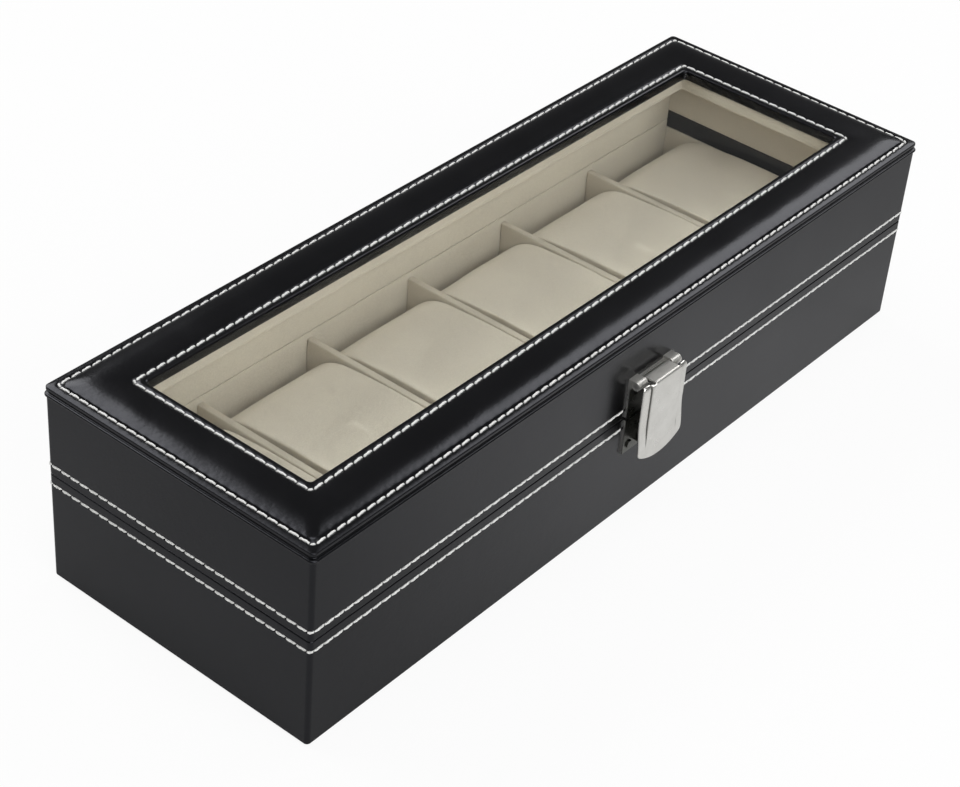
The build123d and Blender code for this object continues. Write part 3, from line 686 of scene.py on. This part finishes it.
def stitching(name, body, node, inset, seat, gap, upright, break_half=0.0):
    """A line of two-ply stitches round the box, this far in from its sides.

    seat is the height of the leather under them. Upright stitches lie on the box's sides.
    break_half leaves the middle of the front bare, this far to both sides.
    """
    half_a, half_b = half_x - inset * MM, half_y - inset * MM
    radius = STITCH_CORNER * MM
    dense = rounded_rectangle(half_a, half_b, radius, 2000, 800, 60)
    dense = np.vstack((dense, dense[:1]))
    run = np.concatenate(([0.0], np.cumsum(np.linalg.norm(np.diff(dense, axis=0), axis=1))))
    quarter = math.pi / 2 * radius
    spans = [2 * (half_a - radius), quarter, 2 * (half_b - radius), quarter] * 2
    generator = np.random.default_rng(len(name) * 7 + 3)
    starts, ends = stitch_ends(spans, break_half)
    gap = gap * MM * generator.uniform(0.85, 1.15, len(starts))
    along = np.sin(np.linspace(-math.pi / 2, math.pi / 2, 15))
    middle, half = (starts + ends) / 2, (ends - starts - gap) / 2
    s = np.clip(middle[:, None] + half[:, None] * along, 0, run[-1])
    x, y = np.interp(s, run, dense[:, 0]), np.interp(s, run, dense[:, 1])
    ahead, back = np.clip(s + 0.0002, 0, run[-1]), np.clip(s - 0.0002, 0, run[-1])
    tangent_x = np.interp(ahead, run, dense[:, 0]) - np.interp(back, run, dense[:, 0])
    tangent_y = np.interp(ahead, run, dense[:, 1]) - np.interp(back, run, dense[:, 1])
    length = np.hypot(tangent_x, tangent_y)
    tangent_x, tangent_y = tangent_x / length, tangent_y / length
    zero, one = np.zeros_like(x), np.ones_like(x)
    centre = np.stack((x, y, np.full_like(x, seat)), -1)
    if upright:
        out = np.stack((tangent_y, -tangent_x, zero), -1)
        across = np.stack((zero, zero, one), -1)
    else:
        out = np.stack((zero, zero, one), -1)
        across = np.stack((-tangent_y, tangent_x, zero), -1)
    lift = THREAD_RADIUS * THREAD_LIFT + STITCH_ARCH * (1 - along**2)
    lift = (lift - STITCH_DIP * np.abs(along) ** 10) * MM
    slant = STITCH_SLANT * MM * along + generator.normal(0, 0.02 * MM, len(starts))[:, None]
    centre = centre + out * lift[None, :, None] + across * slant[..., None]
    points, faces = two_ply(centre, across, out, along)
    make_piece(name, points, faces, thread, body, (node,))


padded_frame()
for which, line, seat in (
    ("outer", OUTER_LINE, OUTER_SEAT_HEIGHT),
    ("inner", INNER_LINE, INNER_SEAT_HEIGHT),
):
    name, node = f"lid_frame_{which}_stitches", f"top_{which}_stitching"
    stitching(name, "lid", node, line, wall_top + seat * MM, STITCH_GAP, upright=False)
beside_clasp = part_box("clasp_plate")[1].x + CLASP_STITCH_GAP * MM
for body in ("lid", "base"):
    name, node = f"{body}_side_stitches", f"{body}_side_stitching"
    low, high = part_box(node)
    middle = (low.z + high.z) / 2
    stitching(name, body, node, SIDE_SEAT_DEPTH, middle, SIDE_STITCH_GAP, True, beside_clasp)


# ---------------- velvet on card
def grid_lines(low, high, softness, step):
    """Places from low to high, close together where the edges are rounded."""
    edge = softness * (1 - np.tan(np.radians((45, 30, 15))))
    inner = np.linspace(
        low + softness, high - softness, max(2, round((high - low - 2 * softness) / step) + 1)
    )
    return np.concatenate((low + edge, inner, high - edge[::-1]))


def soft_box(low, high, softness, step):
    """Points and faces of a box with rounded edges, as a grid on every side."""
    lines = [grid_lines(low[a], high[a], softness, step) for a in range(3)]
    number, points, faces = {}, [], []

    def corner(i, j, k):
        if (i, j, k) not in number:
            number[i, j, k] = len(points)
            points.append((lines[0][i], lines[1][j], lines[2][k]))
        return number[i, j, k]

    for axis in range(3):
        u, v = (axis + 1) % 3, (axis + 2) % 3
        for end in (0, len(lines[axis]) - 1):
            for a in range(len(lines[u]) - 1):
                for b in range(len(lines[v]) - 1):
                    quad = []
                    for da, db in ((0, 0), (1, 0), (1, 1), (0, 1)):
                        index = [0, 0, 0]
                        index[axis], index[u], index[v] = end, a + da, b + db
                        quad.append(corner(*index))
                    faces.append(tuple(quad if end else quad[::-1]))
    points = np.array(points)
    inner = np.clip(points, np.array(low) + softness, np.array(high) - softness)
    away = points - inner
    reach = np.linalg.norm(away, axis=1, keepdims=True)
    return inner + softness * away / reach, faces


def velvet_card(node, body, softness=CARD_SOFTNESS):
    """A velvet-covered panel in place of a CAD node, its edges softened by the cloth."""
    low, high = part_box(node)
    points, faces = soft_box(low, high, softness * MM, GRID_STEP * MM)
    middle = (np.array(low) + np.array(high)) / 2
    thin = int(np.argmin(np.array(high) - np.array(low)))
    for p in points:
        side = 1 if p[thin] > middle[thin] else -1
        wave = 0.5 + 0.5 * noise.noise(Vector(p) * CARD_WAVES + Vector((0, 0, side * 3.0)))
        p[thin] -= side * wave * CARD_WAVE * MM
    make_piece(f"{node}_velvet", points, faces, velvet, body, (node,))


for part in ("front", "left", "right", "back"):
    for body in ("base", "lid"):
        softness = PARTING_SOFTNESS if part == "back" else CARD_SOFTNESS
        velvet_card(f"{body}_{part}_lining", body, softness)
velvet_card("base_floor_lining", "base")
for divider in sorted(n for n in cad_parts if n.startswith("divider_")):
    velvet_card(divider, "base")


def retainer_ring():
    """The velvet-covered frame under the glass, with rounded edges."""
    low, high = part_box("glass_retainer")
    outer_x, outer_y = high.x, high.y
    width = outer_x - (half_x - (FRAME_BORDER - RETAINER_REVEAL) * MM)
    softness = RETAINER_SOFTNESS * MM
    section = []
    for corner_u, corner_z, turn in (
        (width - softness, low.z + softness, 270),
        (width - softness, high.z - softness, 0),
        (softness, high.z - softness, 90),
        (softness, low.z + softness, 180),
    ):
        for step in range(5):
            angle = math.radians(turn + 90 * step / 4)
            section.append(
                (corner_u + softness * math.cos(angle), corner_z + softness * math.sin(angle))
            )
    loops = []
    for inset, z in section:
        loop = rounded_rectangle(outer_x - inset, outer_y - inset, 0.5 * MM, 96, 34, 2)
        loops.append(np.column_stack((loop, np.full(len(loop), z))))
    points = np.concatenate(loops)
    faces = [face[::-1] for face in bridge(len(section), len(loops[0]), closed=True)]
    make_piece(
        "glass_retainer_velvet", points, faces, velvet, "lid", ("glass_retainer",)
    )


retainer_ring()


# ---------------- cushions
def cushion_shell(low, high):
    """The start shape of a pillow: loops of points from the middle of one end to the other's."""
    half_w, half_d, half_h = np.array(high - low) / 2 - np.array(CUSHION_SHRINK) * MM
    roll, seam = CUSHION_ROLL * MM, CUSHION_SEAM * MM
    # Loops as (x, distance in from the sleeve): over the flat end, its seam, then the sleeve
    ends = [(-half_w, d * MM) for d in (14.0, 12.0, 10.0, 8.0, 6.0, 4.5, 3.0, 1.8)]
    corner = [
        (-half_w + seam * (1 - math.cos(a)), seam * (1 - math.sin(a)))
        for a in np.radians((0.0, 30.0, 60.0, 90.0))
    ]
    sleeve = [(x, 0.0) for x in np.linspace(-half_w + seam, half_w - seam, 20)[1:-1]]
    left = ends + corner
    stations = left + sleeve + [(-x, d) for x, d in reversed(left)]
    loops = [
        np.column_stack(
            (
                np.full(CUSHION_AROUND, x),
                rounded_rectangle(half_d - d, half_h - d, roll - d, *CUSHION_STEPS),
            )
        )
        for x, d in stations
    ]
    points = np.array(loops)
    around = points.shape[1]
    faces = [face[::-1] for face in bridge(len(stations), around, closed=False)]
    steps_y, steps_z, corner_steps = CUSHION_STEPS
    # The two end loops close with a strip between their lower and upper flats.
    lower = list(range(steps_y + 1))
    upper_start = steps_y + corner_steps + steps_z + corner_steps
    upper = [upper_start + steps_y - k for k in lower]
    right_side = list(range(steps_y, upper_start + 1))
    left_side = [
        (upper_start + steps_y + k) % around for k in range(2 * corner_steps + steps_z + 1)
    ]
    cap = [
        (lower[k], lower[k + 1], upper[k + 1], upper[k]) for k in range(steps_y)
    ] + [tuple(right_side), tuple(left_side)]
    last = (len(stations) - 1) * around
    faces += cap
    faces += [tuple(v + last for v in face[::-1]) for face in cap]
    seams = [len(ends) + 1, len(stations) - len(ends) - 2]
    return points, faces, seams


def inflate(piece, seam_points):
    """Blows the pillow up as cloth held at its seams, then keeps the result as plain mesh."""
    before = np.array([v.co for v in piece.data.vertices])
    held = piece.vertex_groups.new(name="seams")
    held.add(seam_points, 1.0, "REPLACE")
    cloth = piece.modifiers.new("cloth", "CLOTH")
    for key, value in CLOTH_SETTINGS.items():
        setattr(cloth.settings, key, value)
    cloth.settings.effector_weights.gravity = 0.0
    cloth.point_cache.frame_start, cloth.point_cache.frame_end = 1, CLOTH_FRAMES
    for step in range(1, CLOTH_FRAMES + 1):
        scene.frame_set(step)
    shape = piece.evaluated_get(bpy.context.evaluated_depsgraph_get())
    after = np.array([v.co for v in shape.data.vertices])
    piece.modifiers.remove(cloth)
    scene.frame_set(1)
    moved = after - before
    reach = np.linalg.norm(moved, axis=1, keepdims=True)
    kept = np.minimum(reach, CLOTH_CAP * MM) / np.maximum(reach, 1e-9)
    return before + moved * kept


def keep_inside(points, half_size):
    """Flattens what would press past the CAD solid's surface."""
    soft = 0.9 * MM
    limit = np.array(half_size) - CUSHION_CLEARANCE * MM
    size = np.abs(points)
    over = np.maximum(0, size - (limit - soft))
    flat = limit - soft * np.exp(-over / soft)
    return np.sign(points) * np.where(over > 0, flat, size)


def crown_fall(points, half_size):
    """How far the top of a pillow falls from its crown, towards its front, back and ends."""
    share = np.abs(points[:, :2]) / half_size[:2]
    t = np.clip((share[:, 1] - CROWN_START) / (1 - CROWN_START), 0, 1)
    fall = CROWN_FALL_Y * t * t * (3 - 2 * t) + CROWN_FALL_X * share[:, 0] ** 2
    return fall * MM * np.clip(points[:, 2] / half_size[2], 0, 1)


def pillow(number):
    """One velvet pillow, with a sewn welt round each end."""
    node = f"cushion_{number}"
    low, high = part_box(node)
    centre = np.array((low + high) / 2)
    half_size = np.array(high - low) / 2
    loops, faces, seams = cushion_shell(low, high)
    around = loops.shape[1]
    generator = np.random.default_rng(40 + number)
    shape = loops.reshape(-1, 3)
    for p in shape:
        lump = noise.noise(Vector(p) * CUSHION_WAVES + Vector((0, 0, 7.0 * number)))
        p += p / np.linalg.norm(p) * lump * CUSHION_LUMPS * MM
    body = make_piece(f"{node}_pillow", shape, faces, pillow_velvet, node, (node,))
    seam_points = [s * around + k for s in seams for k in range(around)]
    shape = inflate(body, seam_points)
    settle = generator.uniform(-CUSHION_SETTLE, CUSHION_SETTLE, 2) * MM
    shape = keep_inside(shape + np.array((settle[0], settle[1], 0.0)), half_size)
    shape[:, 2] -= crown_fall(shape, half_size)
    body.data.vertices.foreach_set("co", (shape + centre).ravel())
    body.data.update()
    rounder = body.modifiers.new("round", "SUBSURF")
    rounder.levels = rounder.render_levels = 1


for number in range(1, 7):
    pillow(number)


# ---------------- clasp flap
def smooth(t):
    """A smooth step from 0 to 1."""
    t = min(max(t, 0.0), 1.0)
    return t * t * (3 - 2 * t)


def within(loop, x, v):
    """Whether a point is inside a closed loop of points."""
    a, b = loop, np.roll(loop, -1, axis=0)
    crosses = (a[:, 1] > v) != (b[:, 1] > v)
    with np.errstate(divide="ignore", invalid="ignore"):
        at = a[:, 0] + (v - a[:, 1]) / (b[:, 1] - a[:, 1]) * (b[:, 0] - a[:, 0])
    return bool(np.count_nonzero(crosses & (at > x)) % 2)


def flap_path(flap_low, flap_high, pin_y, pin_z):
    """The sheet's run from its lower end up the face, over the top and round the pin.

    Returns a function from the distance along the sheet, in millimetres of height up to the
    bend, to a place (y, z) on the outside and the outward direction there.
    """
    face_y = flap_low.y / MM
    top_z = flap_high.z / MM
    bend, curl = FLAP_BEND, FLAP_CURL
    bend_start = top_z - bend
    bend_run = bend * math.pi / 2
    flat_run = pin_y - (face_y + bend)

    def place(v):
        if v <= bend_start:
            return (face_y, v), (-1.0, 0.0)
        v -= bend_start
        if v <= bend_run:
            angle = v / bend
            out = (-math.cos(angle), math.sin(angle))
            return (face_y + bend + bend * out[0], top_z - bend + bend * out[1]), out
        v -= bend_run
        if v <= flat_run:
            return (face_y + bend + v, top_z), (0.0, 1.0)
        angle = (v - flat_run) / curl
        out = (math.sin(angle), math.cos(angle))
        return (pin_y + curl * out[0], pin_z + curl * out[1]), out

    return place, bend_start, bend_start + bend_run + flat_run + curl * math.radians(250)


def flap_outline(half_width, lowest, shoulder, sheet_end):
    """The flat outline of the flap, as points about 0.4 mm apart, anticlockwise."""
    corner, top_corner, inside, end_corner = 2.5, 1.4, 0.5, 0.8
    radius = (half_width**2 + FLAP_BELLY**2) / (2 * FLAP_BELLY)
    middle = lowest + radius
    # The lower corner's arc touches the side and, from inside, the big bottom arc.
    corner_x = half_width - corner
    corner_v = middle - math.sqrt((radius - corner) ** 2 - corner_x**2)
    sweep = math.atan2(corner_x, middle - corner_v)
    half = []

    def arc(cx, cv, r, start, end):
        count = max(3, round(abs(end - start) * r / 0.35))
        for a in np.linspace(start, end, count):
            half.append((cx + r * math.cos(a), cv + r * math.sin(a)))

    def line(end):
        x0, v0 = half[-1]
        count = max(1, round(math.hypot(end[0] - x0, end[1] - v0) / 0.4))
        for k in range(1, count + 1):
            half.append((x0 + (end[0] - x0) * k / count, v0 + (end[1] - v0) * k / count))

    arc(0.0, middle, radius, -math.pi / 2, -math.pi / 2 + sweep)
    arc(corner_x, corner_v, corner, -math.pi / 2 + sweep, 0.0)
    line((half_width, shoulder - top_corner))
    arc(half_width - top_corner, shoulder - top_corner, top_corner, 0.0, math.pi / 2)
    line((TONGUE_HALF + inside, shoulder))
    arc(TONGUE_HALF + inside, shoulder + inside, inside, -math.pi / 2, -math.pi)
    line((TONGUE_HALF, sheet_end - end_corner))
    arc(TONGUE_HALF - end_corner, sheet_end - end_corner, end_corner, 0.0, math.pi / 2)
    line((0.0, sheet_end))
    clean = [half[0]]
    for p in half[1:]:
        if math.hypot(p[0] - clean[-1][0], p[1] - clean[-1][1]) > 0.05:
            clean.append(p)
    mirrored = [(-x, v) for x, v in reversed(clean) if x > 0.01]
    return np.array(clean + mirrored)


def flap_sheet(outline, lowest, sheet_end):
    """The outside of the flat flap: its points (x, v), how far each is sunk, and its faces.

    The outline comes first, then the loops that round the edge over, then a grid that is
    closer together across the creases.
    """
    count = len(outline)
    ahead = np.roll(outline, -1, axis=0) - np.roll(outline, 1, axis=0)
    inward = np.column_stack((-ahead[:, 1], ahead[:, 0]))
    inward /= np.linalg.norm(inward, axis=1, keepdims=True)
    edge = FLAP_SHEET / 2
    angles = np.radians((0.0, 25.0, 50.0, 70.0, 90.0))
    rings = [outline + inward * (edge * (1 - math.cos(a))) for a in angles]
    crease = [FLAP_CREASE + d for d in (-0.6, -0.3, -0.12, 0.0, 0.12, 0.3, 0.6)]
    step_x, step_v = FLAP_GRID
    plain = [step_x * k for k in range(-9, 10) if abs(abs(step_x * k) - FLAP_CREASE) > 0.9]
    columns = sorted({round(c, 3) for c in crease + [-c for c in crease] + plain})
    inner = rings[-1]
    inside = []
    for v in np.arange(lowest + 0.6, sheet_end - 0.5, step_v):
        for x in columns:
            gap = np.min(np.hypot(inner[:, 0] - x, inner[:, 1] - v))
            if gap > 0.22 and within(inner, x, v):
                inside.append((x, v))
    band = [Vector(p) for p in inner] + [Vector(p) for p in inside]
    made = delaunay_2d_cdt(band, [(k, (k + 1) % count) for k in range(count)], [], 1, 1e-5)
    if len(made[0]) != len(band):
        raise ValueError("the flap's outline crosses itself")
    source = [(len(rings) - 1) * count + links[0] for links in made[3]]
    sunk = [np.full(count, edge * (1 - math.sin(a))) for a in angles[:-1]]
    faces = bridge(len(angles), count, closed=False)
    faces += [tuple(source[v] for v in face) for face in made[2]]
    flat = np.concatenate(rings[:-1] + [np.array(band)])
    return flat, np.concatenate(sunk + [np.zeros(len(band))]), faces


def flap_relief(x, v, shoulder, half_width):
    """How far the pressed sheet is set back at a place, and how deep its crease is there."""
    past = abs(x) - FLAP_CREASE
    step = groove = 0.0
    if v <= shoulder:
        taper = smooth((v - FLAP_CREASE_FOOT) / (FLAP_CREASE_HEAD - FLAP_CREASE_FOOT))
        wing = max(0.0, past) / (half_width - FLAP_CREASE)
        step = smooth((past + 0.25) / 0.5) * taper * FLAP_WING_SETBACK
        step += FLAP_WING_ROLL * taper * wing**2
        groove = taper * math.exp(-((past / FLAP_GROOVE_WIDTH) ** 2)) * FLAP_GROOVE
    near_top = max(0.0, 1 - abs(shoulder - v) / FLAP_SHOULDER_REACH)
    beside = smooth((abs(x) - TONGUE_HALF) / (FLAP_CREASE - TONGUE_HALF))
    return step + FLAP_SHOULDER_ROLL * beside * near_top**2, groove


def clasp_flap():
    """The pressed nickel flap: one sheet, creased beside its panel, curled round the pin."""
    low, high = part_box("clasp_flap")
    pin_low, pin_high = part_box("clasp_pin")
    pin_y, pin_z = (pin_low.y + pin_high.y) / 2 / MM, (pin_low.z + pin_high.z) / 2 / MM
    place, shoulder, sheet_end = flap_path(low, high, pin_y, pin_z)
    half_width, lowest = high.x / MM, low.z / MM
    outline = flap_outline(half_width, lowest, shoulder, sheet_end)
    flat, depth, faces = flap_sheet(outline, lowest, sheet_end)
    front, back = [], []
    for (x, v), sunk in zip(flat, depth):
        (y, z), (out_y, out_z) = place(v)
        step, groove = flap_relief(x, v, shoulder, half_width)
        front.append((x, y - out_y * (sunk + groove) + step, z - out_z * (sunk + groove)))
        thick = FLAP_SHEET - sunk
        back.append((x, y - out_y * thick + step, z - out_z * thick))
    # The outermost ring is shared by both sides.
    rim, total = len(outline), len(flat)
    faces += [tuple(v if v < rim else v + total for v in face[::-1]) for face in faces]
    used = sorted({v for face in faces for v in face})
    renumber = {v: k for k, v in enumerate(used)}
    points = (np.array(front + back) * MM)[used]
    faces = [tuple(renumber[v] for v in face) for face in faces]
    make_piece(
        "clasp_pressed_flap", points, faces, flap_nickel, "flap", ("clasp_flap",)
    )


clasp_flap()


# ---------------- finishes of the CAD nodes
def finish_of(node):
    """The material of a CAD node that is shown as it is."""
    if "leather" in node:
        return leather
    if "glass" in node:
        return glass
    if "hinge" in node:
        return steel
    if node in ("clasp_plate", "clasp_catch", "lid_clasp_tacks", "base_clasp_tacks"):
        return plate_nickel
    if "clasp" in node:
        return nickel
    if "felt" in node:
        return felt
    if "padding" in node:
        return foam
    return board


for node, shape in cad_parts.items():
    shape.data.materials.clear()
    shape.data.materials.append(finish_of(node))


# ---------------- studio
def plain_floor():
    """A large pale floor at the height that the box stands on."""
    half = FLOOR_HALF
    corners = [(-half, -half, 0.0), (half, -half, 0.0), (half, half, 0.0), (-half, half, 0.0)]
    mesh = bpy.data.meshes.new("studio_floor")
    mesh.from_pydata(corners, [], [(0, 1, 2, 3)])
    mesh.materials.append(floor_material())
    floor = bpy.data.objects.new("studio_floor", mesh)
    scene.collection.objects.link(floor)


def softbox(name, place, size, turn, radiance):
    """A big round soft lamp aimed at the box."""
    lamp = bpy.data.lights.new(name, "AREA")
    lamp.shape = "ELLIPSE"
    lamp.size, lamp.size_y = size
    lamp.energy = radiance * math.pi * (math.pi / 4 * size[0] * size[1])
    holder = bpy.data.objects.new(name, lamp)
    holder.location = place
    holder.rotation_mode = "QUATERNION"
    roll = Quaternion((0.0, 0.0, 1.0), math.radians(turn))
    holder.rotation_quaternion = (-Vector(place)).to_track_quat("-Z", "Y") @ roll
    scene.collection.objects.link(holder)


def surroundings():
    """A dim, even room that looks white where the camera sees it, directly or through glass."""
    m = Recipe(bpy.data.worlds.new("studio"))
    room, sky = (
        m.add("ShaderNodeBackground", {"Color": (grey, grey, grey, 1.0)})
        for grey in (WORLD_GREY, 1.0)
    )
    both = m.add(
        "ShaderNodeMixShader", {0: m.straight_view(), 1: room.outputs[0], 2: sky.outputs[0]}
    )
    scene.world = m.finish(both, "ShaderNodeOutputWorld")


def camera():
    """The photograph's viewpoint."""
    lens = bpy.data.cameras.new("photo_camera")
    lens.lens = CAMERA_LENS
    lens.sensor_width = CAMERA_SENSOR
    lens.clip_start, lens.clip_end = 0.01, 50.0
    eye = bpy.data.objects.new("photo_camera", lens)
    aim = Vector(CAMERA_AIM) - Vector(CAMERA_PLACE)
    eye.rotation_mode = "QUATERNION"
    roll = Quaternion((0.0, 0.0, 1.0), math.radians(CAMERA_ROLL))
    eye.rotation_quaternion = aim.to_track_quat("-Z", "Y") @ roll
    eye.location = CAMERA_PLACE
    scene.collection.objects.link(eye)
    scene.camera = eye


plain_floor()
for name, settings in LAMPS.items():
    softbox(name, *settings)
surroundings()
camera()
scene.view_settings.view_transform = "Standard"
